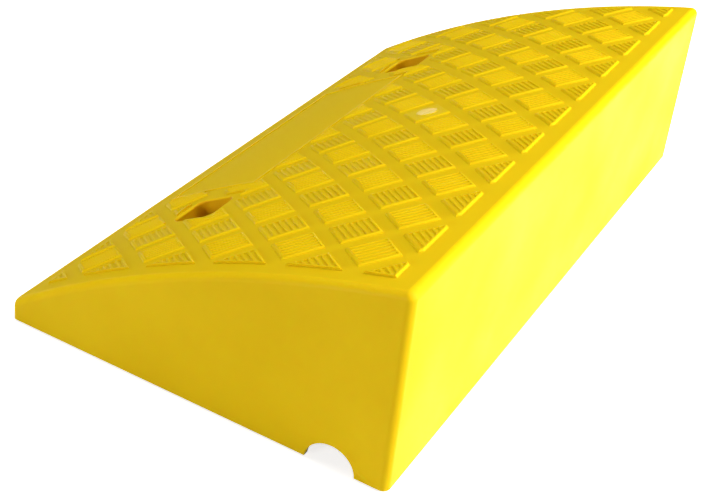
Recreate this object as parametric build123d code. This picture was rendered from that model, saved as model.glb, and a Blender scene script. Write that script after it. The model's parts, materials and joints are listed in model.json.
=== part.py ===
from build123d import *
import math
import os

# Kerb ramp: one moulded wedge with a tread deck, steel bolt bushes and push-in rubber feet.
# The floor is z = 0, the kerb lies towards +Y, the toe towards -Y, and X runs along the kerb.

# Overall size of the wedge, before its edges are rounded
ramp_length = 500.0
ramp_depth = 270.0
ramp_height = 135.5
toe_height = 15.0
deck_radius = 740.0
wall_draft = 1.0

# Moulding thicknesses and rounded edges
wall_thickness = 4.0
deck_thickness = 4.0
rib_thickness = 3.0
largest_cell = 47.0
edge_round = 5.0
inside_round = 3.0
toe_round = 2.5

# Tread: square tiles turned on their corners, in crossing rows half a pitch apart
tile_pitch = 46.8
groove_width = 9.8
tile_height = 1.5
tread_shift = 4.0
tread_side_border = 16.0
tread_rear_border = 19.5
tread_toe_border = 15.5

# Plain framed panel between the bolt wells
panel_well_gap = 20.5
panel_depth = 67.0
panel_line = 2.0
panel_line_height = 0.8
panel_margin = 2.5

# Round mark of the moulding gate, in the middle of one tile
gate_diameter = 14.0
gate_rise = 0.5

# Bolt wells
well_spacing = 288.0
well_from_toe = 70.0
well_length = 33.0
well_depth = 28.0
well_corner = 3.0
well_mouth_round = 1.2
well_wall = 3.0
well_margin = 4.0
well_floor = 12.0

# Steel bushes in the well floors
bush_bore = 13.0
bush_wall = 2.5
bush_flange_gap = 2.0
bush_flange_thickness = 2.5
bush_clearance = 0.15
bush_edge = 0.6

# Drain and cable channel under the rear of the ramp
channel_from_rear = 37.5
channel_width = 33.0
channel_height = 15.5
channel_side_gap = 1.5

# Push-in rubber feet
foot_stand = 1.5
foot_diameter = 14.0
foot_recess = 2.5
foot_stem = 6.0
foot_stem_length = 8.0
foot_clearance = 0.15
foot_end_gap = 0.5
foot_edge = 0.6
foot_boss_wall = 2.6
foot_boss_cover = 3.0
foot_end_inset = 46.0
foot_inner_spacing = 168.0
foot_front_inset = 29.0
foot_middle_inset = 128.0

# Places that follow from the sizes
rim_z = foot_stand
end_x = ramp_length / 2
rear_y = ramp_depth / 2
toe_y = -rear_y
well_x = well_spacing / 2
well_y = toe_y + well_from_toe
panel_length = well_spacing - well_length - 2 * panel_well_gap
panel_y = well_y + (well_depth - panel_depth) / 2
channel_y = rear_y - channel_from_rear
half_pitch = tile_pitch / 2
tile_side = tile_pitch / math.sqrt(2) - groove_width
gate_place = (0, 1)
gate_x = gate_place[0] * half_pitch
gate_y = gate_place[1] * half_pitch - tread_shift
bush_sleeve = bush_bore + 2 * bush_wall
bush_flange = min(well_length, well_depth) - 2 * bush_flange_gap
reach = 2 * (ramp_length + ramp_depth + ramp_height)

# Centre of the deck's arc, which runs from the top of the toe to the rear top corner
crest_y = rear_y - (ramp_height - rim_z) * math.tan(math.radians(wall_draft))
chord_y = crest_y - toe_y
chord_z = ramp_height - toe_height
chord = math.hypot(chord_y, chord_z)
arc_drop = math.sqrt(deck_radius**2 - (chord / 2) ** 2)
arc_y = (toe_y + crest_y) / 2 + arc_drop * chord_z / chord
arc_z = (toe_height + ramp_height) / 2 - arc_drop * chord_y / chord


def with_even_ribs(lines, end_low, end_high):
    """The given rib lines, with more spaced evenly wherever a cell would be too wide."""
    stations = sorted([end_low, *lines, end_high])
    filled = list(lines)
    for low, high in zip(stations, stations[1:]):
        cells = math.ceil((high - low) / (largest_cell + rib_thickness))
        filled += [low + (high - low) * step / cells for step in range(1, cells)]
    return sorted(filled)


# Feet and ribs: a rib runs through every foot, along the walls of the wells and beside the channel
inner_x = end_x - wall_thickness
inner_y = rear_y - wall_thickness
foot_lines_x = [foot_inner_spacing / 2, end_x - foot_end_inset]
well_lines_x = [well_x - (well_length + well_wall) / 2, well_x + (well_length + well_wall) / 2]
right_lines_x = foot_lines_x + well_lines_x
rib_lines_x = with_even_ribs([-x for x in right_lines_x] + right_lines_x, -inner_x, inner_x)
channel_rib = channel_width / 2 + channel_side_gap + rib_thickness / 2
channel_lines_y = [channel_y - channel_rib, channel_y + channel_rib]
well_lines_y = [well_y - (well_depth + well_wall) / 2, well_y + (well_depth + well_wall) / 2]
foot_rows_y = {
    "front": toe_y + foot_front_inset,
    "middle": toe_y + foot_middle_inset,
    "rear": (channel_lines_y[1] + inner_y) / 2,
}
foot_lines_y = [foot_rows_y["front"], foot_rows_y["middle"]]
rib_lines_y = with_even_ribs(foot_lines_y + well_lines_y + channel_lines_y, -inner_y, inner_y)
foot_places = {
    f"{row}_foot_{number}": (x, y)
    for row, y in foot_rows_y.items()
    for number, x in enumerate(sorted([-x for x in foot_lines_x] + foot_lines_x), start=1)
}
foot_boss_radius = foot_diameter / 2 + foot_clearance + foot_boss_wall
foot_hole_top = rim_z + foot_recess + foot_stem_length + foot_end_gap
foot_boss_top = foot_hole_top + foot_boss_cover


def upright_rod(radius, bottom, top, x, y):
    """A round rod standing at a place, from one height to another."""
    return Pos(x, y, (bottom + top) / 2) * Cylinder(radius, top - bottom)


def under_deck(lift):
    """Everything below the deck's arc, with the arc raised by lift."""
    return Pos(0, arc_y, arc_z) * Rot(0, 90, 0) * Cylinder(deck_radius + lift, reach)


def drafted_wedge(inset, lift, radius):
    """The wedge, its walls moved in by inset, its deck raised by lift and its upper edges rounded."""
    base = Pos(0, 0, rim_z) * Rectangle(ramp_length - 2 * inset, ramp_depth - 2 * inset)
    wedge = extrude(base, amount=2 * ramp_height, taper=wall_draft) & under_deck(lift)
    deck_edges = wedge.faces().filter_by(GeomType.CYLINDER).edges().sort_by(Axis.Y)[1:]
    rear_edges = wedge.faces().sort_by(Axis.Y)[-1].edges().sort_by(Axis.Z)[1:]
    return fillet(list(set(deck_edges + rear_edges)), radius)


def rounded_toe(wedge):
    """The wedge with the edges of its toe face rounded, apart from the one along the floor."""
    toe_face = wedge.faces().sort_by(Axis.Y)[0]
    return fillet(toe_face.edges().sort_by(Axis.Z)[1:], toe_round)


def tread_outline():
    """Plan of the tread tiles, cut at the borders and clear of the wells and the panel."""
    columns = math.ceil(end_x / half_pitch)
    rows = math.ceil(rear_y / half_pitch)
    places = [
        (column * half_pitch, row * half_pitch - tread_shift)
        for column in range(-columns, columns + 1)
        for row in range(-rows, rows + 1)
        if (column + row) % 2
    ]
    tiles = Sketch() + [Pos(x, y) * Rectangle(tile_side, tile_side, rotation=45) for x, y in places]
    field_length = ramp_length - 2 * tread_side_border
    field_depth = ramp_depth - tread_toe_border - tread_rear_border
    field_y = (tread_toe_border - tread_rear_border) / 2
    field = Pos(0, field_y) * Rectangle(field_length, field_depth)
    bare_panel = Rectangle(panel_length + 2 * panel_margin, panel_depth + 2 * panel_margin)
    bare_well = Rectangle(well_length + 2 * well_margin, well_depth + 2 * well_margin)
    bare_places = [Pos(x, well_y) * bare_well for x in (-well_x, well_x)]
    return (tiles & field) - [Pos(0, panel_y) * bare_panel, *bare_places]


def panel_line_outline():
    """Plan of the thin raised line round the bare panel."""
    outside = Rectangle(panel_length, panel_depth)
    inside = Rectangle(panel_length - 2 * panel_line, panel_depth - 2 * panel_line)
    return Pos(0, panel_y) * (outside - inside)


def deck_relief(outline, height):
    """A plan outline standing on the deck, rooted in it, with a top that follows its arc."""
    prisms = extrude(outline, amount=2 * ramp_height)
    layer = under_deck(height) - under_deck(-deck_thickness / 2)
    return prisms & layer


def underside_cells():
    """The hollows between the ribs, clear of the wells and of the foot bosses."""
    hollow = drafted_wedge(wall_thickness, -deck_thickness, inside_round)
    ribs = [Pos(x, 0, 0) * Box(rib_thickness, reach, reach) for x in rib_lines_x]
    ribs += [Pos(0, y, 0) * Box(reach, rib_thickness, reach) for y in rib_lines_y]
    well_block = Box(well_length + 2 * well_wall, well_depth + 2 * well_wall, reach)
    wells = [Pos(x, well_y, 0) * well_block for x in (-well_x, well_x)]
    bosses = [upright_rod(foot_boss_radius, 0, foot_boss_top, x, y) for x, y in foot_places.values()]
    return hollow - (ribs + wells + bosses)


def well_holes(x):
    """The square pocket of a bolt well and the round hole in its floor."""
    mouth = Pos(x, well_y, well_floor) * RectangleRounded(well_length, well_depth, well_corner)
    hole = upright_rod(bush_sleeve / 2 + bush_clearance, 0, well_floor, x, well_y)
    return [extrude(mouth, amount=reach), hole]


def foot_holes(x, y):
    """The round recess for a foot's pad and the hole for its stem."""
    recess = upright_rod(foot_diameter / 2 + foot_clearance, 0, rim_z + foot_recess, x, y)
    hole = upright_rod(foot_stem / 2 + foot_clearance, 0, foot_hole_top, x, y)
    return [recess, hole]


def drain_channel():
    """The arched passage along the whole ramp, open to the floor."""
    foot_line = Line((channel_y - channel_width / 2, rim_z), (channel_y + channel_width / 2, rim_z))
    arch = ThreePointArc(foot_line @ 1, (channel_y, rim_z + channel_height), foot_line @ 0)
    return extrude(Plane.YZ * make_face([foot_line, arch]), amount=reach, both=True)


def sunk_wells(wedge):
    """The wedge with its bolt wells sunk in and the edges of their mouths rounded."""
    sunk = wedge - [hole for x in (-well_x, well_x) for hole in well_holes(x)]
    deck = sunk.faces().filter_by(GeomType.CYLINDER).sort_by(SortBy.AREA)[-1]
    mouths = [edge for wire in deck.inner_wires() for edge in wire.edges()]
    return fillet(mouths, well_mouth_round)


def ramp_body():
    """The moulding: wedge, wells, tread, panel line and gate mark, hollowed from below."""
    wedge = sunk_wells(rounded_toe(drafted_wedge(0, 0, edge_round)))
    reliefs = [
        deck_relief(tread_outline(), tile_height),
        deck_relief(panel_line_outline(), panel_line_height),
        deck_relief(Pos(gate_x, gate_y) * Circle(gate_diameter / 2), tile_height + gate_rise),
    ]
    holes = [underside_cells(), drain_channel()]
    for x, y in foot_places.values():
        holes += foot_holes(x, y)
    return wedge + reliefs - holes


def bolt_bush(x):
    """A flanged steel sleeve that lines the hole in a well floor."""
    flange_top = well_floor + bush_flange_thickness
    sleeve = upright_rod(bush_sleeve / 2, rim_z, flange_top, x, well_y)
    flange = upright_rod(bush_flange / 2, well_floor, flange_top, x, well_y)
    bush = sleeve + flange - upright_rod(bush_bore / 2, 0, reach, x, well_y)
    return chamfer(bush.faces().sort_by(Axis.Z)[-1].outer_wire().edges(), bush_edge)


def rubber_foot(x, y):
    """A round rubber pad with a stem that is pushed into its boss."""
    pad_top = rim_z + foot_recess
    pad = upright_rod(foot_diameter / 2, 0, pad_top, x, y)
    foot = pad + upright_rod(foot_stem / 2, pad_top, pad_top + foot_stem_length, x, y)
    rims = foot.edges().filter_by(GeomType.CIRCLE).sort_by(Axis.Z)
    return fillet([rims[0], rims[-1]], foot_edge)


pieces = {"ramp_body": ramp_body()}
for side, bush_x in (("left", -well_x), ("right", well_x)):
    pieces[f"{side}_bolt_bush"] = bolt_bush(bush_x)
for foot_name, foot_place in foot_places.items():
    pieces[foot_name] = rubber_foot(*foot_place)

os.makedirs("parts", exist_ok=True)
for node, piece in pieces.items():
    export_step(piece, f"parts/{node}.step")
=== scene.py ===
"""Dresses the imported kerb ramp: moulding, tread, panel bead, gate mark, fittings, finishes and studio."""

import json
import logging
import math
from abc import ABC, abstractmethod
from collections.abc import Callable, Iterator
from contextlib import contextmanager
from dataclasses import dataclass, field
from enum import Enum
from functools import cached_property
from typing import ClassVar

import bmesh
import bpy
from mathutils import Matrix, Vector

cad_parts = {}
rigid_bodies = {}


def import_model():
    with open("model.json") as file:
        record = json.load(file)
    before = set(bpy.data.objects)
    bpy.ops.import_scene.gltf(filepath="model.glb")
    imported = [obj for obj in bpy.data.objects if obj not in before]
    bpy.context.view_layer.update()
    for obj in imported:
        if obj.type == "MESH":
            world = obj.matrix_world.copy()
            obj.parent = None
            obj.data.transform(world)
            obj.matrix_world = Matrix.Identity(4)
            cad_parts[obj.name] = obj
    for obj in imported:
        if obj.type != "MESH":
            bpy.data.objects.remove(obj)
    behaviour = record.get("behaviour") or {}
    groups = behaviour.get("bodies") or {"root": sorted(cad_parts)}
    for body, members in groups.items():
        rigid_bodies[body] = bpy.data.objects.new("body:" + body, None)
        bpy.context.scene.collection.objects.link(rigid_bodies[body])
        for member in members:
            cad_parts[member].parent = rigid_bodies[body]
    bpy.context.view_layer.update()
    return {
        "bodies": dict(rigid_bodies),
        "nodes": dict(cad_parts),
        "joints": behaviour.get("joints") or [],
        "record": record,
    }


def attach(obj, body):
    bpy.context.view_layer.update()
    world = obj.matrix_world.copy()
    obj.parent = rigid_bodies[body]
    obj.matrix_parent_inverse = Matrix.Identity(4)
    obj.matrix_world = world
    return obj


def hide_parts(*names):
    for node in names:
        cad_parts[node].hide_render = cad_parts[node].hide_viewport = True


logger = logging.getLogger("kerb_ramp")

Piece = bpy.types.Object
Material = bpy.types.Material
Socket = bpy.types.NodeSocket
Pair = tuple[float, float]
Triple = tuple[float, float, float]
Tone = Triple | Socket
Test = Callable[[Vector], bool]

BODY = "root"
# Points closer than this, in metres, count as one.
MERGE = 1e-5
# Angle between faces, in degrees, past which an edge of a small piece stays sharp.
SHARP = 40.0
# How strongly large faces flatten the shading of the rounded edges beside them.
FACE_WEIGHT = 100
# Ends of the range in which most values of a noise lie.
NOISE_LOW = 0.3
NOISE_HIGH = 0.7
# Marks on the body's points for painted shade: the bare deck between the tiles, and the walls and floors of
# the wells.
PAINTED_GAP_SHADE = "painted_gap_shade"
PAINTED_WELL_SHADE = "well"


class Slot(Enum):
    """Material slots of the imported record."""

    YELLOW_PLASTIC = "yellow_plastic"
    ZINC_STEEL = "zinc_steel"
    BLACK_RUBBER = "black_rubber"


class RibRun(Enum):
    """Directions in which the ribs of a tread tile run, as the tile's turn in plan."""

    TOWARDS_RIGHT = math.radians(45)
    TOWARDS_LEFT = math.radians(135)


class Bench:
    """Editing steps that the pieces go through, one short method each."""

    @staticmethod
    def take(*objects: Piece) -> None:
        """Selects the given objects alone and makes the first one active.

        Args:
            objects: The objects to work on.
        """
        bpy.ops.object.select_all(action="DESELECT")
        for item in objects:
            item.select_set(True)
        bpy.context.view_layer.objects.active = objects[0]

    @staticmethod
    @contextmanager
    def editing(piece: Piece) -> Iterator[None]:
        """Opens a piece in edit mode, with all of it selected, and closes it afterwards.

        Args:
            piece: The mesh object to edit.
        """
        Bench.take(piece)
        bpy.ops.object.mode_set(mode="EDIT")
        bpy.ops.mesh.select_all(action="SELECT")
        try:
            yield
        finally:
            bpy.ops.object.mode_set(mode="OBJECT")

    @staticmethod
    def add(name: str, primitive: Callable[..., set[str]], **sizes: object) -> Piece:
        """Adds a primitive, with nothing else selected.

        Args:
            name: Name of the object.
            primitive: The operator that adds it.
            sizes: Values of the operator's properties.

        Returns:
            The new object.
        """
        bpy.ops.object.select_all(action="DESELECT")
        primitive(**sizes)
        piece = bpy.context.object
        piece.name = name
        return piece

    @staticmethod
    def pick(piece: Piece, mode: str, wanted: Callable[[object], bool]) -> None:
        """Selects the faces or the edges that pass a test.

        Args:
            piece: The mesh object, in edit mode.
            mode: FACE or EDGE.
            wanted: Test of a face or an edge.
        """
        bpy.ops.mesh.select_mode(type=mode)
        bpy.ops.mesh.select_all(action="DESELECT")
        shape = bmesh.from_edit_mesh(piece.data)
        for element in shape.faces if mode == "FACE" else shape.edges:
            element.select_set(wanted(element))
        bmesh.update_edit_mesh(piece.data)

    @staticmethod
    def pick_faces(piece: Piece, wanted: Test) -> None:
        """Selects the faces whose middle passes a test.

        Args:
            piece: The mesh object, in edit mode.
            wanted: Test of a face's middle.
        """
        Bench.pick(piece, "FACE", lambda face: wanted(face.calc_center_median()))

    @staticmethod
    def pick_edges(piece: Piece, wanted: Test) -> None:
        """Selects the edges whose two ends pass a test.

        Args:
            piece: The mesh object, in edit mode.
            wanted: Test of an end of an edge.
        """
        Bench.pick(piece, "EDGE", lambda edge: all(wanted(end.co) for end in edge.verts))

    @staticmethod
    def cut(piece: Piece, place: Vector, across: Vector, inside: Test) -> None:
        """Cuts the chosen faces along a plane, keeping both sides.

        Args:
            piece: The mesh object, in edit mode.
            place: A point of the plane.
            across: The plane's normal.
            inside: Test of the middle of a face to be cut.
        """
        Bench.pick_faces(piece, inside)
        bpy.ops.mesh.bisect(plane_co=place, plane_no=across, threshold=MERGE)

    @staticmethod
    def apply(piece: Piece, kind: str, **settings: object) -> None:
        """Adds a modifier to a piece and applies it.

        Args:
            piece: The mesh object.
            kind: Type of the modifier.
            settings: Values of the modifier's properties.
        """
        Bench.take(piece)
        bpy.ops.object.modifier_add(type=kind)
        modifier = piece.modifiers[-1]
        for key, value in settings.items():
            setattr(modifier, key, value)
        bpy.ops.object.modifier_apply(modifier=modifier.name)

    @staticmethod
    def copy(piece: Piece, place: Matrix) -> Piece:
        """Copies a piece with a mesh of its own and puts the copy in its place.

        Args:
            piece: The piece to copy.
            place: Where the copy stands.

        Returns:
            The copy.
        """
        twin = piece.copy()
        twin.data = piece.data.copy()
        bpy.context.scene.collection.objects.link(twin)
        twin.matrix_world = place
        return twin

    @staticmethod
    def join(name: str, pieces: list[Piece]) -> Piece:
        """Joins pieces into one mesh whose object sits at the origin.

        Args:
            name: Name of the joined object.
            pieces: The pieces to join.

        Returns:
            The joined object.
        """
        Bench.take(*pieces)
        bpy.ops.object.join()
        joined = bpy.context.object
        joined.name = name
        joined.data.name = name
        bpy.ops.object.transform_apply()
        return joined

    @staticmethod
    def discard(*objects: Piece) -> None:
        """Deletes helper objects."""
        for item in objects:
            bpy.data.objects.remove(item, do_unlink=True)

    @staticmethod
    def drop_crumbs(piece: Piece, size: float) -> Piece:
        """Deletes the loose fragments of a piece that are smaller than a size.

        Args:
            piece: The mesh object.
            size: Length in plan below which a fragment goes.

        Returns:
            The piece without its crumbs.
        """
        name = piece.name
        with Bench.editing(piece):
            bpy.ops.mesh.separate(type="LOOSE")
        fragments = list(bpy.context.selected_objects)
        crumbs = [fragment for fragment in fragments if max(fragment.dimensions.xy) < size]
        Bench.discard(*crumbs)
        return Bench.join(name, [fragment for fragment in fragments if fragment not in crumbs])

    @staticmethod
    def shade(piece: Piece, sharp: float = SHARP) -> None:
        """Shades a piece smooth, with its flat faces flat up to their rounded edges.

        Args:
            piece: The mesh object.
            sharp: Angle between faces, in degrees, past which an edge stays sharp.
        """
        Bench.take(piece)
        bpy.ops.object.shade_smooth_by_angle(angle=math.radians(sharp))
        Bench.apply(piece, "WEIGHTED_NORMAL", keep_sharp=True, weight=FACE_WEIGHT)


@dataclass(frozen=True)
class Noise:
    """A noise in a piece's own coordinates.

    Attributes:
        scale: Cells per metre.
        detail: Number of finer layers.
        stretch: Factors on the three axes.
    """

    scale: float
    detail: float
    stretch: Triple = (1.0, 1.0, 1.0)


class NodeBoard:
    """A material's nodes, with short calls to add and join them."""

    def __init__(self, name: str) -> None:
        """Starts a material with its shader alone.

        Args:
            name: Name of the material.
        """
        self.material = bpy.data.materials.new(name)
        self.material.use_nodes = True
        self.tree = self.material.node_tree
        self.shader = self.tree.nodes["Principled BSDF"]
        self.place = self.add("ShaderNodeTexCoord").outputs["Object"]

    def add(self, kind: str, **settings: object) -> bpy.types.Node:
        """Adds a node.

        Args:
            kind: Type of the node.
            settings: Values of its properties.

        Returns:
            The node.
        """
        node = self.tree.nodes.new(kind)
        for key, value in settings.items():
            setattr(node, key, value)
        return node

    def join(self, source: Socket, target: Socket) -> None:
        """Joins an output to an input."""
        self.tree.links.new(source, target)

    def noise(self, noise: Noise) -> Socket:
        """Adds a noise.

        Args:
            noise: What it looks like.

        Returns:
            The noise's value.
        """
        mapping = self.add("ShaderNodeMapping")
        mapping.inputs["Scale"].default_value = noise.stretch
        self.join(self.place, mapping.inputs["Vector"])
        node = self.add("ShaderNodeTexNoise")
        node.inputs["Scale"].default_value = noise.scale
        node.inputs["Detail"].default_value = noise.detail
        self.join(mapping.outputs["Vector"], node.inputs["Vector"])
        return node.outputs["Fac"]

    def spread(self, value: Socket, low: float = 0.0, high: float = 1.0) -> Socket:
        """Maps the middle of a noise to a range.

        Args:
            value: The noise.
            low: Result at the noise's low end.
            high: Result at its high end.

        Returns:
            The mapped value.
        """
        ranged = self.add("ShaderNodeMapRange")
        ranged.inputs["From Min"].default_value = NOISE_LOW
        ranged.inputs["From Max"].default_value = NOISE_HIGH
        ranged.inputs["To Min"].default_value = low
        ranged.inputs["To Max"].default_value = high
        self.join(value, ranged.inputs["Value"])
        return ranged.outputs["Result"]

    def blend(self, share: Socket, first: Tone, second: Tone) -> Socket:
        """Mixes two colours.

        Args:
            share: How much of the second colour shows.
            first: The first colour, or an output that gives it.
            second: The second colour, or an output that gives it.

        Returns:
            The mixed colour.
        """
        mix = self.add("ShaderNodeMix", data_type="RGBA")
        for tone, socket in ((first, mix.inputs["A"]), (second, mix.inputs["B"])):
            if isinstance(tone, tuple):
                socket.default_value = (*tone, 1.0)
            else:
                self.join(tone, socket)
        self.join(share, mix.inputs["Factor"])
        return mix.outputs["Result"]

    def bump(self, layers: list[tuple[Socket, float]]) -> None:
        """Gives the shader a bump from several height layers.

        Args:
            layers: Each layer's height and its depth in metres.
        """
        below = None
        for height, depth in layers:
            node = self.add("ShaderNodeBump")
            node.inputs["Strength"].default_value = 1.0
            node.inputs["Distance"].default_value = depth
            self.join(height, node.inputs["Height"])
            if below is not None:
                self.join(below, node.inputs["Normal"])
            below = node.outputs["Normal"]
        self.join(below, self.shader.inputs["Normal"])


@dataclass(frozen=True)
class CloudedFinish:
    """A finish with clouds of a second colour and a fine relief.

    Attributes:
        name: Name of the material.
        colour: Main colour.
        cloud: Colour of the clouds in it.
        roughness: Lowest and highest roughness.
        clouds: Noise of the clouds.
        grain: Noise of the relief.
        grain_depth: Its depth, in metres.
        metallic: One for a metal, zero for anything else.
    """

    name: str
    colour: Triple
    cloud: Triple
    roughness: Pair
    clouds: Noise
    grain: Noise
    grain_depth: float
    metallic: float = 0.0

    def build(self) -> Material:
        """Makes the material.

        Returns:
            The material.
        """
        board = NodeBoard(self.name)
        clouds = board.noise(self.clouds)
        grain = board.noise(self.grain)
        colour = board.blend(board.spread(clouds), self.colour, self.cloud)
        board.join(colour, board.shader.inputs["Base Color"])
        board.join(board.spread(clouds, *self.roughness), board.shader.inputs["Roughness"])
        board.shader.inputs["Metallic"].default_value = self.metallic
        board.bump([(grain, self.grain_depth)])
        return board.material


@dataclass(frozen=True)
class MouldedPlastic(CloudedFinish):
    """Yellow moulded plastic: even colour, darkened by painted shade on the bare deck and in the wells
    where a piece marks them, with fine grain, slight waviness and light that seeps in a little.

    Attributes:
        gloss: Strength of its reflections.
        seep: Share of the light that seeps in.
        seep_depth: How far red, green and blue light seep in, in metres.
        painted_gap_shade: Darker colour of the bare deck between the tiles, where a piece marks it: painted
            shade of the gaps.
        hollow_roughness: Roughness of the hollows.
        well: Darker, more orange colour of the wells' walls and floors, where a piece marks them: painted
            shade in the wells.
        wave: Noise of the waviness.
        wave_depth: Its depth, in metres.
    """

    name: str = "moulded_yellow_plastic"
    colour: Triple = (0.83, 0.56, 0.002)
    cloud: Triple = (0.79, 0.52, 0.002)
    roughness: Pair = (0.42, 0.56)
    clouds: Noise = Noise(14.0, 3.0)
    grain: Noise = Noise(1400.0, 2.0)
    grain_depth: float = 0.00003
    gloss: float = 0.08
    seep: float = 0.35
    seep_depth: Triple = (0.0020, 0.0010, 0.0002)
    painted_gap_shade: Triple = (0.75, 0.50, 0.002)
    hollow_roughness: float = 0.75
    well: Triple = (0.71, 0.38, 0.001)
    wave: Noise = Noise(38.0, 1.0)
    wave_depth: float = 0.00012

    def build(self) -> Material:
        """Makes the material.

        Returns:
            The material.
        """
        board = NodeBoard(self.name)
        shader = board.shader
        clouds = board.noise(self.clouds)
        grain = board.noise(self.grain)
        wave = board.noise(self.wave)
        painted_gap_shade = board.add("ShaderNodeAttribute", attribute_name=PAINTED_GAP_SHADE).outputs["Fac"]
        well = board.add("ShaderNodeAttribute", attribute_name=PAINTED_WELL_SHADE).outputs["Fac"]
        clouded = board.blend(board.spread(clouds), self.colour, self.cloud)
        # Painted shade: the bare deck between the tiles turns darker.
        gap_shaded = board.blend(painted_gap_shade, clouded, self.painted_gap_shade)
        # Painted shade: the wells' walls and floors turn darker and more orange.
        board.join(board.blend(well, gap_shaded, self.well), shader.inputs["Base Color"])
        rough = board.add("ShaderNodeMix", data_type="FLOAT")
        board.join(painted_gap_shade, rough.inputs["Factor"])
        board.join(board.spread(clouds, *self.roughness), rough.inputs["A"])
        rough.inputs["B"].default_value = self.hollow_roughness
        board.join(rough.outputs["Result"], shader.inputs["Roughness"])
        shader.inputs["Specular IOR Level"].default_value = self.gloss
        shader.inputs["Subsurface Weight"].default_value = self.seep
        shader.inputs["Subsurface Scale"].default_value = 1.0
        shader.inputs["Subsurface Radius"].default_value = self.seep_depth
        board.bump([(wave, self.wave_depth), (grain, self.grain_depth)])
        return board.material


@dataclass(frozen=True)
class ZincPlate(CloudedFinish):
    """Zinc-plated steel with a cloudy, slightly brushed surface."""

    name: str = "zinc_plated_steel"
    colour: Triple = (0.66, 0.66, 0.64)
    cloud: Triple = (0.50, 0.50, 0.48)
    roughness: Pair = (0.28, 0.45)
    clouds: Noise = Noise(260.0, 3.0)
    grain: Noise = Noise(900.0, 2.0, (1.0, 1.0, 12.0))
    grain_depth: float = 0.00001
    metallic: float = 1.0


@dataclass(frozen=True)
class MattRubber(CloudedFinish):
    """Black rubber, matt, with a fine dusty grain."""

    name: str = "matt_black_rubber"
    colour: Triple = (0.018, 0.018, 0.018)
    cloud: Triple = (0.040, 0.038, 0.035)
    roughness: Pair = (0.70, 0.90)
    clouds: Noise = Noise(180.0, 4.0)
    grain: Noise = Noise(2500.0, 2.0)
    grain_depth: float = 0.00003


def settle(piece: Piece, slot: Slot, finish: Material, *nodes: str) -> None:
    """Gives a finished piece its material and its place on the ramp.

    Args:
        piece: The finished piece.
        slot: The record's slot; not used.
        finish: The material.
        nodes: CAD nodes that the piece stands for.
    """
    piece.data.materials.clear()
    piece.data.materials.append(finish)
    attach(piece, BODY)
    if nodes:
        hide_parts(*nodes)
    logger.info("%s: %d faces", piece.name, len(piece.data.polygons))


@dataclass(frozen=True)
class Deck:
    """The arched deck: an arc about an axis along the ramp, from the top of the toe to the rear top corner.

    Attributes:
        depth: Depth of the ramp at its rim.
        rim: Height of the rim above the floor.
        toe: Height of the toe.
        crest: Height of the rear top corner.
        draft: Lean of the walls, in degrees.
        radius: Radius of the arc.
    """

    depth: float = 0.270
    rim: float = 0.0015
    toe: float = 0.015
    crest: float = 0.1355
    draft: float = 1.0
    radius: float = 0.740

    @cached_property
    def centre(self) -> Vector:
        """Depth and height of the arc's axis."""
        lean = (self.crest - self.rim) * math.tan(math.radians(self.draft))
        low = Vector((-self.depth / 2, self.toe))
        high = Vector((self.depth / 2 - lean, self.crest))
        chord = high - low
        drop = math.sqrt(self.radius**2 - (chord.length / 2) ** 2)
        return (low + high) / 2 + drop * Vector((chord.y, -chord.x)).normalized()

    def height(self, y: float, lift: float = 0.0) -> float:
        """Finds the height of the deck, or of a surface that stands off it.

        Args:
            y: Depth on the ramp.
            lift: How far the surface stands off the deck.

        Returns:
            The height above the floor.
        """
        return self.centre.y + math.sqrt((self.radius + lift) ** 2 - (y - self.centre.x) ** 2)

    def lift(self, place: Vector) -> float:
        """Finds how far a point stands off the deck."""
        return math.hypot(place.y - self.centre.x, place.z - self.centre.y) - self.radius

    def upward(self, place: Vector) -> Vector:
        """Finds the deck's outward direction at a point."""
        return Vector((0, place.y - self.centre.x, place.z - self.centre.y)).normalized()

    def drape(self, piece: Piece) -> None:
        """Lays a piece that was modelled flat onto the deck.

        Args:
            piece: The piece, its height zero at the deck's surface.
        """
        for point in piece.data.vertices:
            point.co.z = self.height(point.co.y, point.co.z)
        piece.data.update()


@dataclass(frozen=True)
class Patch:
    """A rectangle of the ramp's plan.

    Attributes:
        low: Corner at the left end, towards the toe.
        high: Corner at the right end, towards the rear.
    """

    low: Pair
    high: Pair

    def grown(self, margin: float, deeper: float = 0.0) -> "Patch":
        """Makes the patch with a margin all round.

        Args:
            margin: The margin.
            deeper: What is added to it at the front and at the rear.

        Returns:
            The larger patch, or a smaller one if the margin is negative.
        """
        depth = margin + deeper
        low = (self.low[0] - margin, self.low[1] - depth)
        high = (self.high[0] + margin, self.high[1] + depth)
        return Patch(low, high)

    def mirrored(self) -> "Patch":
        """Makes the same patch at the other end of the ramp."""
        return Patch((-self.high[0], self.low[1]), (-self.low[0], self.high[1]))

    def holds(self, place: Vector) -> bool:
        """Tells whether a point lies over the patch or on its edge."""
        across = self.low[0] - MERGE < place.x < self.high[0] + MERGE
        return across and self.low[1] - MERGE < place.y < self.high[1] + MERGE

    def block(self, tall: float, lean: float = 0.0) -> Piece:
        """Makes a block over the patch, for cutting pieces that lie flat.

        Args:
            tall: How far the block reaches up and down.
            lean: How much its front and rear walls lean in on each unit of height.

        Returns:
            The block, which has the patch's size at height zero.
        """
        low = Vector((*self.low, -tall))
        high = Vector((*self.high, tall))
        middle = (low + high) / 2
        block = Bench.add("cutting_block", bpy.ops.mesh.primitive_cube_add, size=1, location=middle)
        bpy.ops.transform.resize(value=high - low)
        bpy.ops.object.transform_apply()
        for point in block.data.vertices:
            point.co.y -= math.copysign(lean, point.co.y - middle.y) * point.co.z
        return block


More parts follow.
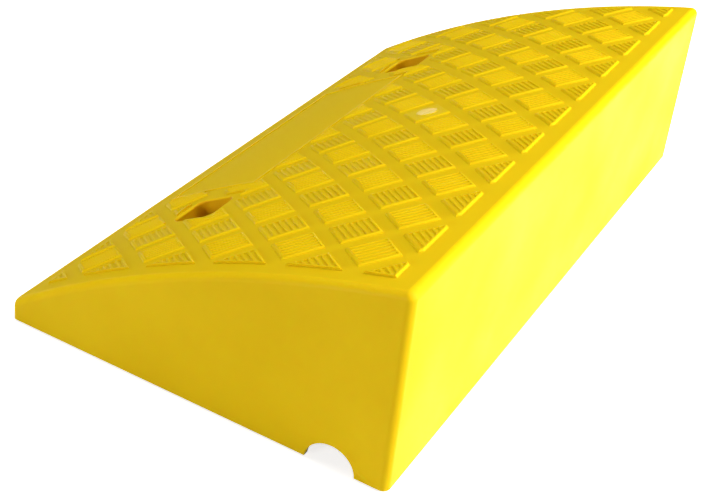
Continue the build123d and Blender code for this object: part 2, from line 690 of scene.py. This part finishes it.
@dataclass(frozen=True)
class Plan:
    """Where things lie on the deck, seen from above.

    Attributes:
        field: The tread, within its plain borders.
        panel: The framed panel between the wells.
        panel_margin: Bare ground round the panel.
        well: The right bolt well's mouth.
        well_floor: Height of the wells' floors.
        well_margin: Bare ground round a well.
    """

    field: Patch = Patch((-0.2340, -0.1195), (0.2340, 0.1155))
    panel: Patch = Patch((-0.1070, -0.1180), (0.1070, -0.0510))
    panel_margin: float = 0.0025
    well: Patch = Patch((0.1275, -0.0790), (0.1605, -0.0510))
    well_floor: float = 0.0120
    well_margin: float = 0.0040

    def wells(self) -> list[Patch]:
        """Lists the mouths of both wells."""
        return [self.well, self.well.mirrored()]

    def bare(self) -> list[Patch]:
        """Lists the places without tiles."""
        wells = [well.grown(self.well_margin) for well in self.wells()]
        return [self.panel.grown(self.panel_margin), *wells]


@dataclass(frozen=True)
class Moulding:
    """The yellow body, shown as a cleaned copy of its CAD node whose deck is bare for the modelled tread.

    Attributes:
        deck: The deck's arc.
        plan: Where the wells lie.
        node: The CAD node.
        relief: Lift past which a point belongs to the CAD tread.
        sharp: Angle past which an edge stays sharp, in degrees.
        corner: Radius of the wells' upright corners in the CAD node.
        mouth: Width that the rounded mouth of a well takes up at most.
        softness: What is added to the corners' radius.
    """

    deck: Deck
    plan: Plan
    node: str = "ramp_body"
    relief: float = 0.0002
    sharp: float = 32.0
    corner: float = 0.0030
    mouth: float = 0.0024
    softness: float = 0.0050

    def on_deck(self, place: Vector) -> bool:
        """Tells whether a point lies on the deck's surface."""
        return abs(self.deck.lift(place)) < MERGE

    def in_well(self, place: Vector) -> bool:
        """Tells whether a point lies on a well's walls or floor."""
        below_mouth = self.deck.lift(place) < -self.relief and place.z > self.plan.well_floor - MERGE
        return below_mouth and any(well.holds(place) for well in self.plan.wells())

    def soften(self, body: Piece, well: Patch) -> None:
        """Gives a well's upright corners a larger radius, which only narrows the well.

        Args:
            body: The body, its deck already bare.
            well: The well's mouth.
        """
        low, high = Vector(well.low), Vector(well.high)
        middle = (low + high) / 2
        straight = (high - low) / 2 - Vector((self.corner, self.corner))
        for point in body.data.vertices:
            lift = self.deck.lift(point.co)
            away = point.co.xy - middle
            along = Vector(max(-end, min(end, far)) for end, far in zip(straight, away))
            out = away - along
            on_wall = self.corner - MERGE < out.length < self.corner + self.mouth
            if on_wall and lift < MERGE and point.co.z > self.plan.well_floor - MERGE:
                shorter = Vector(way * (1 - self.softness / end) for end, way in zip(straight, along))
                point.co.xy = middle + shorter + out * (1 + self.softness / out.length)
                if lift > -self.mouth:
                    point.co.z = self.deck.height(point.co.y, lift)

    @staticmethod
    def mark(body: Piece, name: str, chosen: Test) -> None:
        """Marks points of the body that the finish shows in a darker tone of their own, which is painted
        shade.

        Args:
            body: The body.
            name: Name of the mark.
            chosen: Test of a point.
        """
        marks = body.data.attributes.new(name, "FLOAT", "POINT")
        for point, mark in zip(body.data.vertices, marks.data):
            mark.value = float(chosen(point.co))

    def smooth(self, body: Piece) -> None:
        """Shades the deck as a true arc, whatever thin triangles the CAD mesh left in it.

        Args:
            body: The body, already shaded.
        """
        mesh = body.data
        directions = [corner.vector.copy() for corner in mesh.corner_normals]
        for face in mesh.polygons:
            places = [mesh.vertices[index].co for index in face.vertices]
            if all(self.on_deck(place) for place in places):
                for corner, place in zip(face.loop_indices, places):
                    directions[corner] = self.deck.upward(place)
        mesh.normals_split_custom_set(directions)

    def build(self, frame: dict, finish: Material) -> None:
        """Copies the node, takes its tread off and dresses it.

        Args:
            frame: The loaded frame.
            finish: The plastic.
        """
        source = frame["nodes"][self.node]
        body = Bench.copy(source, Matrix.Identity(4))
        body.parent = None
        body.name = "moulded_body"
        for key in list(body.keys()):
            del body[key]
        with Bench.editing(body):
            bpy.ops.mesh.remove_doubles(threshold=MERGE)
        for point in body.data.vertices:
            if self.deck.lift(point.co) > self.relief:
                point.co.z = self.deck.height(point.co.y)
        with Bench.editing(body):
            bpy.ops.mesh.remove_doubles(threshold=MERGE)
            bpy.ops.mesh.dissolve_degenerate(threshold=MERGE)
            Bench.pick(body, "FACE", lambda face: face.calc_area() < MERGE**2)
            bpy.ops.mesh.delete(type="FACE")
        for well in self.plan.wells():
            self.soften(body, well)
        # Painted shade: the bare deck is marked for a darker colour.
        self.mark(body, PAINTED_GAP_SHADE, self.on_deck)
        # Painted shade: the wells' walls and floors are marked for a darker, more orange colour.
        self.mark(body, PAINTED_WELL_SHADE, self.in_well)
        Bench.shade(body, self.sharp)
        self.smooth(body)
        settle(body, Slot.YELLOW_PLASTIC, finish, self.node)


@dataclass(frozen=True)
class TreadTile:
    """One raised tile: a square pad with a plain frame and ribs between parallel grooves.

    Attributes:
        side: Side of the pad's top.
        height: Height of the pad's top above the deck.
        root: How far the pad reaches into the deck.
        flare: How far each side spreads from its top to its root.
        edge: Rounding of the top's outer edges.
        grooves: Number of grooves.
        groove_pitch: Distance from groove to groove.
        groove_width: Width of a groove at its top.
        groove_slope: How far a groove's walls lean in.
        groove_depth: Depth of the grooves.
    """

    side: float = 0.02329
    height: float = 0.0015
    root: float = 0.0006
    flare: float = 0.0010
    edge: float = 0.0008
    grooves: int = 6
    groove_pitch: float = 0.0037
    groove_width: float = 0.0026
    groove_slope: float = 0.0005
    groove_depth: float = 0.0007

    @property
    def groove_floor(self) -> float:
        """Height of the grooves' floors above the deck."""
        return self.height - self.groove_depth

    def groove_lines(self) -> list[Pair]:
        """Finds where the grooves lie across the tile.

        Returns:
            Where each groove begins and ends.
        """
        first = -(self.grooves - 1) / 2 * self.groove_pitch
        middles = [first + number * self.groove_pitch for number in range(self.grooves)]
        return [(middle - self.groove_width / 2, middle + self.groove_width / 2) for middle in middles]

    def rib(self, tile: Piece) -> None:
        """Cuts the grooves into a tile's top, which leaves the ribs between them.

        Args:
            tile: The flat top.
        """
        grooves = self.groove_lines()
        reach = grooves[-1][1]

        def in_field(middle: Vector) -> bool:
            """Tells whether a face lies within the tile's frame."""
            return max(abs(middle.x), abs(middle.y)) < reach

        def in_groove(middle: Vector) -> bool:
            """Tells whether a face becomes a groove."""
            return in_field(middle) and any(low < middle.y < high for low, high in grooves)

        with Bench.editing(tile):
            bpy.ops.mesh.inset(thickness=self.side / 2 - reach)
            for line in [end for groove in grooves for end in groove][1:-1]:
                Bench.cut(tile, Vector((0, line, 0)), Vector((0, 1, 0)), in_field)
            Bench.pick_faces(tile, in_groove)
            bpy.ops.mesh.inset(thickness=self.groove_slope, depth=-self.groove_depth, use_individual=True)

    def close(self, tile: Piece) -> None:
        """Gives a tile its sides and its bottom and rounds its top.

        Args:
            tile: The tile's top.
        """
        rim = self.side / 2 - MERGE
        spread = 1 + 2 * self.flare / self.side

        def on_rim(end: Vector) -> bool:
            """Tells whether a point lies on the tile's outline or outside it."""
            return max(abs(end.x), abs(end.y)) > rim

        def on_top_rim(end: Vector) -> bool:
            """Tells whether a point lies on the outline of the tile's top."""
            return on_rim(end) and end.z > 0

        with Bench.editing(tile):
            Bench.pick_edges(tile, on_rim)
            drop = {"value": (0, 0, -self.height - self.root)}
            bpy.ops.mesh.extrude_region_move(TRANSFORM_OT_translate=drop)
            bpy.ops.transform.resize(value=(spread, spread, 1), center_override=(0, 0, 0))
            bpy.ops.mesh.edge_face_add()
            bpy.ops.mesh.select_all(action="SELECT")
            bpy.ops.mesh.normals_make_consistent()
            Bench.pick_edges(tile, on_top_rim)
            bpy.ops.mesh.bevel(offset=self.edge, segments=2)

    def model(self, ribbed: bool) -> Piece:
        """Models a tile at the origin.

        Args:
            ribbed: Whether the tile has grooves and ribs.

        Returns:
            The tile.
        """
        tile = Bench.add("tile", bpy.ops.mesh.primitive_plane_add, size=self.side)
        with Bench.editing(tile):
            bpy.ops.transform.translate(value=(0, 0, self.height))
        if ribbed:
            self.rib(tile)
        self.close(tile)
        return tile


@dataclass(frozen=True)
class Tread:
    """The field of tiles on the deck, turned on their corners, in crossing rows half a pitch apart.

    Attributes:
        deck: The deck's arc.
        plan: Where the tread lies and where it is bare.
        tile: The tile that repeats.
        half_pitch: Half the distance between tiles of one row.
        shift: How far the rows lie towards the toe.
        columns: Number of half pitches on each side of the middle.
        rows: Number of half pitches in front of and behind the middle.
        gate: Column and row of the plain tile with the gate mark.
        crumb: Length below which a trimmed-off piece of a tile is left out.
        frame: Width of the plain frame along a cut.
        lean: How far the cut at the front and rear borders leans in over a tile's height.
        cut_reach: How far the cutting blocks reach above and below the deck's surface.
    """

    deck: Deck
    plan: Plan
    tile: TreadTile = field(default_factory=TreadTile)
    half_pitch: float = 0.0234
    shift: float = 0.0040
    columns: int = 11
    rows: int = 6
    gate: tuple[int, int] = (0, 1)
    crumb: float = 0.0030
    frame: float = 0.0010
    lean: float = 0.0012
    cut_reach: float = 0.0150

    def middle(self, column: int, row: int) -> Vector:
        """Finds the middle of a tile in plan."""
        return Vector((column * self.half_pitch, row * self.half_pitch - self.shift, 0))

    def place(self, column: int, row: int) -> Matrix:
        """Finds where a tile stands, with its turn.

        Args:
            column: The tile's column.
            row: The tile's row.

        Returns:
            The tile's matrix.
        """
        run = RibRun.TOWARDS_RIGHT if row % 2 else RibRun.TOWARDS_LEFT
        return Matrix.Translation(self.middle(column, row)) @ Matrix.Rotation(run.value, 4, "Z")

    def slots(self) -> list[tuple[int, int]]:
        """Finds the ribbed tiles, whose middles lie clear of the panel.

        Returns:
            The column and the row of each tile.
        """
        rows = range(-self.rows, self.rows + 1)
        columns = range(-self.columns, self.columns + 1)
        crossing = [(column, row) for row in rows for column in columns if (column + row) % 2]
        clear = [slot for slot in crossing if not self.plan.panel.holds(self.middle(*slot))]
        return [slot for slot in clear if slot != self.gate]

    def score(self, tiles: Piece, patch: Patch) -> None:
        """Cuts the faces of the tiles along the four sides of a patch.

        Args:
            tiles: All tiles, still flat, in edit mode.
            patch: The patch.
        """
        near = patch.grown(self.tile.side).holds
        for corner in (patch.low, patch.high):
            for across in (Vector((1, 0, 0)), Vector((0, 1, 0))):
                Bench.cut(tiles, Vector((*corner, 0)), across, near)

    def seal(self, tiles: Piece) -> None:
        """Ends the grooves short of the coming cuts, which leaves a plain frame along each cut.

        Args:
            tiles: All tiles, still flat and whole.
        """
        slope = self.tile.groove_slope
        inner = self.plan.field.grown(-self.frame, -self.lean)
        outer = [patch.grown(self.frame) for patch in self.plan.bare()]
        with Bench.editing(tiles):
            for patch in (inner, inner.grown(-slope)):
                self.score(tiles, patch)
            for patch in outer:
                self.score(tiles, patch)
                self.score(tiles, patch.grown(slope))
        open_field = inner.grown(-slope / 2)
        closed = [patch.grown(slope / 2) for patch in outer]
        for point in tiles.data.vertices:
            sunk = abs(point.co.z - self.tile.groove_floor) < MERGE
            by_cut = not open_field.holds(point.co) or any(patch.holds(point.co) for patch in closed)
            if sunk and by_cut:
                point.co.z = self.tile.height

    def trim(self, tiles: Piece) -> None:
        """Cuts the tiles at the borders and round the panel and the wells.

        Args:
            tiles: All tiles, still flat.
        """
        border = self.plan.field.block(self.cut_reach, self.lean / self.tile.height)
        bare = [patch.block(self.cut_reach) for patch in self.plan.bare()]
        Bench.apply(tiles, "BOOLEAN", operation="INTERSECT", object=border, solver="EXACT")
        for block in bare:
            Bench.apply(tiles, "BOOLEAN", operation="DIFFERENCE", object=block, solver="EXACT")
        Bench.discard(border, *bare)

    def build(self, finish: Material) -> None:
        """Models a ribbed and a plain tile, copies them over the field, trims it and lays it on the deck.

        Args:
            finish: The plastic.
        """
        ribbed = self.tile.model(ribbed=True)
        plain = self.tile.model(ribbed=False)
        copies = [Bench.copy(ribbed, self.place(*slot)) for slot in self.slots()]
        copies.append(Bench.copy(plain, self.place(*self.gate)))
        Bench.discard(ribbed, plain)
        tiles = Bench.join("tread_tiles", copies)
        self.seal(tiles)
        self.trim(tiles)
        tiles = Bench.drop_crumbs(tiles, self.crumb)
        self.deck.drape(tiles)
        Bench.shade(tiles)
        settle(tiles, Slot.YELLOW_PLASTIC, finish)


@dataclass(frozen=True)
class GateMark:
    """The smooth round mark that the moulding gate left in the middle of one tile.

    Attributes:
        tread: The tread that the mark stands on.
        radius: Radius of the mark.
        rise: Height of the mark above its tile.
        root: How far the mark reaches into its tile.
        edge: Rounding of its rim.
        sides: Number of its sides.
    """

    tread: Tread
    radius: float = 0.0070
    rise: float = 0.0004
    root: float = 0.0004
    edge: float = 0.0003
    sides: int = 64

    def build(self, finish: Material) -> None:
        """Models the mark and lays it on its tile.

        Args:
            finish: The plastic, smoother than elsewhere.
        """
        top = self.tread.tile.height + self.rise
        thickness = self.rise + self.root
        cylinder = bpy.ops.mesh.primitive_cylinder_add
        mark = Bench.add("gate_mark", cylinder, vertices=self.sides, radius=self.radius, depth=thickness)
        place = self.tread.middle(*self.tread.gate)
        with Bench.editing(mark):
            Bench.pick_edges(mark, lambda end: end.z > 0)
            bpy.ops.mesh.bevel(offset=self.edge, segments=3)
            bpy.ops.mesh.select_all(action="SELECT")
            bpy.ops.transform.translate(value=(place.x, place.y, top - thickness / 2))
        self.tread.deck.drape(mark)
        Bench.shade(mark)
        settle(mark, Slot.YELLOW_PLASTIC, finish)


@dataclass(frozen=True)
class PanelBead:
    """The thin raised line round the bare panel between the bolt wells.

    Attributes:
        deck: The deck's arc.
        panel: The panel.
        width: Width of the line.
        height: Height of the line above the deck.
        root: How far the line reaches into the deck.
        edge: Rounding of its edges.
        steps: Number of straight stretches that follow the arc.
    """

    deck: Deck
    panel: Patch
    width: float = 0.0020
    height: float = 0.0008
    root: float = 0.0006
    edge: float = 0.0006
    steps: int = 12

    def build(self, finish: Material) -> None:
        """Models the line flat and lays it on the deck.

        Args:
            finish: The plastic.
        """
        low, high = Vector((*self.panel.low, 0)), Vector((*self.panel.high, 0))
        middle = (low + high) / 2
        bead = Bench.add("panel_bead", bpy.ops.mesh.primitive_plane_add, size=1)
        with Bench.editing(bead):
            bpy.ops.transform.resize(value=(high.x - low.x, high.y - low.y, 1))
            bpy.ops.transform.translate(value=(middle.x, middle.y, self.height))
            bpy.ops.mesh.inset(thickness=self.width)
            bpy.ops.mesh.delete(type="FACE")
            for step in range(1, self.steps):
                line = low.lerp(high, step / self.steps)
                bpy.ops.mesh.select_all(action="SELECT")
                bpy.ops.mesh.bisect(plane_co=line, plane_no=(0, 1, 0))
        Bench.apply(bead, "SOLIDIFY", thickness=self.height + self.root)
        Bench.apply(bead, "BEVEL", width=self.edge, segments=2, limit_method="ANGLE")
        self.deck.drape(bead)
        Bench.shade(bead)
        settle(bead, Slot.YELLOW_PLASTIC, finish)


class Fitting(ABC):
    """A small part that is modelled once and copied to every CAD node of its kind.

    Attributes:
        kind: Word in the names of its nodes.
        slot: The record's slot that it takes its finish from.
    """

    kind: ClassVar[str]
    slot: ClassVar[Slot]

    @abstractmethod
    def model(self) -> Piece:
        """Models the fitting on the frame's upright axis."""

    def build(self, frame: dict, finish: Material) -> None:
        """Models the fitting, copies it to its nodes and dresses the copies.

        Args:
            frame: The loaded frame.
            finish: The material.
        """
        pattern = self.model()
        for name, node in frame["nodes"].items():
            if self.kind in name:
                corners = [node.matrix_world @ Vector(corner) for corner in node.bound_box]
                middle = sum(corners, Vector()) / len(corners)
                twin = Bench.copy(pattern, Matrix.Translation((middle.x, middle.y, 0)))
                piece = Bench.join(f"turned_{name}", [twin])
                settle(piece, self.slot, finish, name)
        Bench.discard(pattern)


@dataclass(frozen=True)
class BoltBush(Fitting):
    """A flanged steel sleeve that lines the hole in a well floor.

    Attributes:
        seat: Height of the well floor under the flange.
        bore: Radius of the bore.
        sleeve: Radius of the sleeve.
        flange: Radius of the flange.
        bottom: Height of the sleeve's lower end.
        top: Height of the flange's top.
        edge: Rounding of the flange.
        sides: Number of its sides.
    """

    kind: ClassVar[str] = "bolt_bush"
    slot: ClassVar[Slot] = Slot.ZINC_STEEL
    seat: float
    bore: float = 0.0065
    sleeve: float = 0.0090
    flange: float = 0.0120
    bottom: float = 0.0015
    top: float = 0.0145
    edge: float = 0.0006
    sides: int = 64

    def model(self) -> Piece:
        """Models a bush on the frame's upright axis.

        Returns:
            The bush.
        """
        thickness = self.top - self.seat
        cylinder = bpy.ops.mesh.primitive_cylinder_add
        bush = Bench.add("bush", cylinder, vertices=self.sides, radius=self.flange, depth=thickness)
        with Bench.editing(bush):
            bpy.ops.transform.translate(value=(0, 0, self.seat + thickness / 2))
            Bench.pick_edges(bush, lambda end: end.z > self.top - MERGE)
            bpy.ops.mesh.bevel(offset=self.edge, segments=2)
            Bench.pick_faces(bush, lambda middle: middle.z < self.seat + MERGE)
            bpy.ops.mesh.inset(thickness=self.flange - self.sleeve)
            drop = {"value": (0, 0, self.bottom - self.seat)}
            bpy.ops.mesh.extrude_region_move(TRANSFORM_OT_translate=drop)
            bpy.ops.mesh.inset(thickness=self.sleeve - self.bore)
            Bench.pick_faces(bush, lambda middle: middle.z > self.top - MERGE)
            bpy.ops.mesh.inset(thickness=self.flange - self.edge - self.bore)
            Bench.pick_faces(bush, lambda middle: middle.xy.length < MERGE)
            bpy.ops.mesh.bridge_edge_loops()
        Bench.shade(bush)
        return bush


@dataclass(frozen=True)
class RubberFoot(Fitting):
    """A round rubber pad with a stem that is pushed into its boss.

    Attributes:
        radius: Radius of the pad.
        height: Height of the pad.
        stem: Radius of the stem.
        top: Height of the stem's top.
        edge: Rounding of the pad's and the stem's rim.
        sides: Number of its sides.
    """

    kind: ClassVar[str] = "foot"
    slot: ClassVar[Slot] = Slot.BLACK_RUBBER
    radius: float = 0.0070
    height: float = 0.0040
    stem: float = 0.0030
    top: float = 0.0120
    edge: float = 0.0006
    sides: int = 48

    def model(self) -> Piece:
        """Models a foot on the frame's upright axis.

        Returns:
            The foot.
        """
        cylinder = bpy.ops.mesh.primitive_cylinder_add
        foot = Bench.add("foot", cylinder, vertices=self.sides, radius=self.radius, depth=self.height)
        with Bench.editing(foot):
            bpy.ops.transform.translate(value=(0, 0, self.height / 2))
            Bench.pick_faces(foot, lambda middle: middle.z > self.height - MERGE)
            bpy.ops.mesh.inset(thickness=self.radius - self.stem)
            rise = {"value": (0, 0, self.top - self.height)}
            bpy.ops.mesh.extrude_region_move(TRANSFORM_OT_translate=rise)
            for rim in (0.0, self.top):
                Bench.pick_edges(foot, lambda end: abs(end.z - rim) < MERGE)
                bpy.ops.mesh.bevel(offset=self.edge, segments=3)
        Bench.shade(foot)
        return foot


@dataclass(frozen=True)
class Lamp:
    """A square soft lamp that faces the ramp.

    Attributes:
        name: Name of the lamp.
        place: Where it hangs.
        size: Side of its square.
        level: Brightness of a white surface that faces it from the ramp's middle.
        aim: Point that it faces.
    """

    name: str
    place: Triple
    size: float
    level: float
    aim: Triple = (0.0, 0.0, 0.06)

    def build(self) -> None:
        """Hangs the lamp."""
        sight = Vector(self.aim) - Vector(self.place)
        bpy.ops.object.light_add(type="AREA", location=self.place)
        lamp = bpy.context.object
        lamp.name = self.name
        lamp.data.shape = "SQUARE"
        lamp.data.size = self.size
        lamp.data.energy = self.level * math.pi**2 * sight.length_squared
        lamp.rotation_mode = "QUATERNION"
        lamp.rotation_quaternion = sight.to_track_quat("-Z", "Y")


@dataclass(frozen=True)
class Studio:
    """A pale floor, soft lamps and a camera where the photograph was taken.

    Attributes:
        eye: Place of the camera.
        target: Point in the middle of the picture.
        roll: Turn of the camera about its line of sight, in degrees.
        lens: Focal length for a sensor 36 mm wide, in millimetres.
        floor_size: Side of the square floor.
        floor_white: Shade of the floor as the camera and reflections see it.
        floor_bounce: Shade of the floor as it lights the ramp.
        floor_glow: Light that the floor adds for the camera and reflections, which thins the shadow.
        floor_roughness: Roughness of the floor.
        sky: Brightness of the surroundings.
        lamps: The lamps.
    """

    eye: Triple = (0.75748, 0.33940, 0.51575)
    target: Triple = (0.14164, 0.04440, 0.07085)
    roll: float = 7.107
    lens: float = 67.236
    floor_size: float = 4.0
    floor_white: float = 0.97
    floor_bounce: float = 0.45
    floor_glow: float = 0.76
    floor_roughness: float = 0.9
    sky: float = 0.06
    lamps: tuple[Lamp, ...] = (
        Lamp("rear_key", (-0.6, 2.2, 0.90), 0.9, 1.20),
        Lamp("far_soft", (-0.4, 1.0, 1.90), 1.4, 0.88),
        Lamp("front_fill", (0.2, -1.2, 2.00), 1.4, 0.25),
        Lamp("near_fill", (2.7, -0.9, 0.45), 0.8, 0.48),
        Lamp("glint_card", (-1.65, -1.10, 0.26), 0.3, 0.018),
    )

    def camera(self) -> None:
        """Places the camera."""
        bpy.ops.object.camera_add(location=self.eye)
        camera = bpy.context.object
        sight = Vector(self.target) - Vector(self.eye)
        level = sight.to_track_quat("-Z", "Y")
        camera.rotation_mode = "QUATERNION"
        roll = Matrix.Rotation(math.radians(self.roll), 3, "Z")
        camera.rotation_quaternion = level @ roll.to_quaternion()
        camera.data.lens = self.lens
        bpy.context.scene.camera = camera

    def floor(self) -> None:
        """Lays the floor, which is white to the camera and lights the ramp less."""
        floor = Bench.add("studio_floor", bpy.ops.mesh.primitive_plane_add, size=self.floor_size)
        board = NodeBoard("pale_floor")
        shader = board.shader
        path = board.add("ShaderNodeLightPath")
        seen = board.add("ShaderNodeMath", operation="MAXIMUM")
        board.join(path.outputs["Is Camera Ray"], seen.inputs[0])
        board.join(path.outputs["Is Glossy Ray"], seen.inputs[1])
        shade = board.blend(seen.outputs["Value"], (self.floor_bounce,) * 3, (self.floor_white,) * 3)
        board.join(shade, shader.inputs["Base Color"])
        glow = board.add("ShaderNodeMath", operation="MULTIPLY")
        glow.inputs[1].default_value = self.floor_glow
        board.join(seen.outputs["Value"], glow.inputs[0])
        shader.inputs["Emission Color"].default_value = (1.0, 1.0, 1.0, 1.0)
        board.join(glow.outputs["Value"], shader.inputs["Emission Strength"])
        shader.inputs["Roughness"].default_value = self.floor_roughness
        shader.inputs["Specular IOR Level"].default_value = 0.0
        floor.data.materials.append(board.material)

    def surroundings(self) -> None:
        """Makes the surroundings dim to the ramp and white to the camera."""
        world = bpy.data.worlds.new("studio_surroundings")
        world.use_nodes = True
        nodes, links = world.node_tree.nodes, world.node_tree.links
        seen = nodes.new("ShaderNodeLightPath").outputs["Is Camera Ray"]
        strength = nodes.new("ShaderNodeMapRange")
        strength.inputs["To Min"].default_value = self.sky
        links.new(seen, strength.inputs["Value"])
        background = nodes["Background"]
        background.inputs["Color"].default_value = (1, 1, 1, 1)
        links.new(strength.outputs["Result"], background.inputs["Strength"])
        bpy.context.scene.world = world

    def build(self) -> None:
        """Sets up the camera, the floor, the lamps and the surroundings."""
        self.camera()
        self.floor()
        for lamp in self.lamps:
            lamp.build()
        self.surroundings()
        bpy.context.scene.view_settings.view_transform = "Standard"


def main() -> None:
    """Builds the ramp's pieces and its studio in order."""
    logging.basicConfig(level=logging.INFO, format="%(name)s: %(message)s")
    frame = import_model()
    plastic = MouldedPlastic().build()
    tread_plastic = MouldedPlastic(
        name="tread_yellow_plastic",
        colour=(0.76, 0.525, 0.004),
        cloud=(0.73, 0.50, 0.003),
        roughness=(0.50, 0.64),
        gloss=0.04,
    ).build()
    gate_plastic = MouldedPlastic(name="gate_yellow_plastic", roughness=(0.26, 0.34), gloss=0.12).build()
    deck = Deck()
    plan = Plan()
    tread = Tread(deck, plan)
    Moulding(deck, plan).build(frame, plastic)
    tread.build(tread_plastic)
    GateMark(tread).build(gate_plastic)
    PanelBead(deck, plan.panel).build(plastic)
    BoltBush(plan.well_floor).build(frame, ZincPlate().build())
    RubberFoot().build(frame, MattRubber().build())
    Studio().build()


if __name__ == "__main__":
    main()
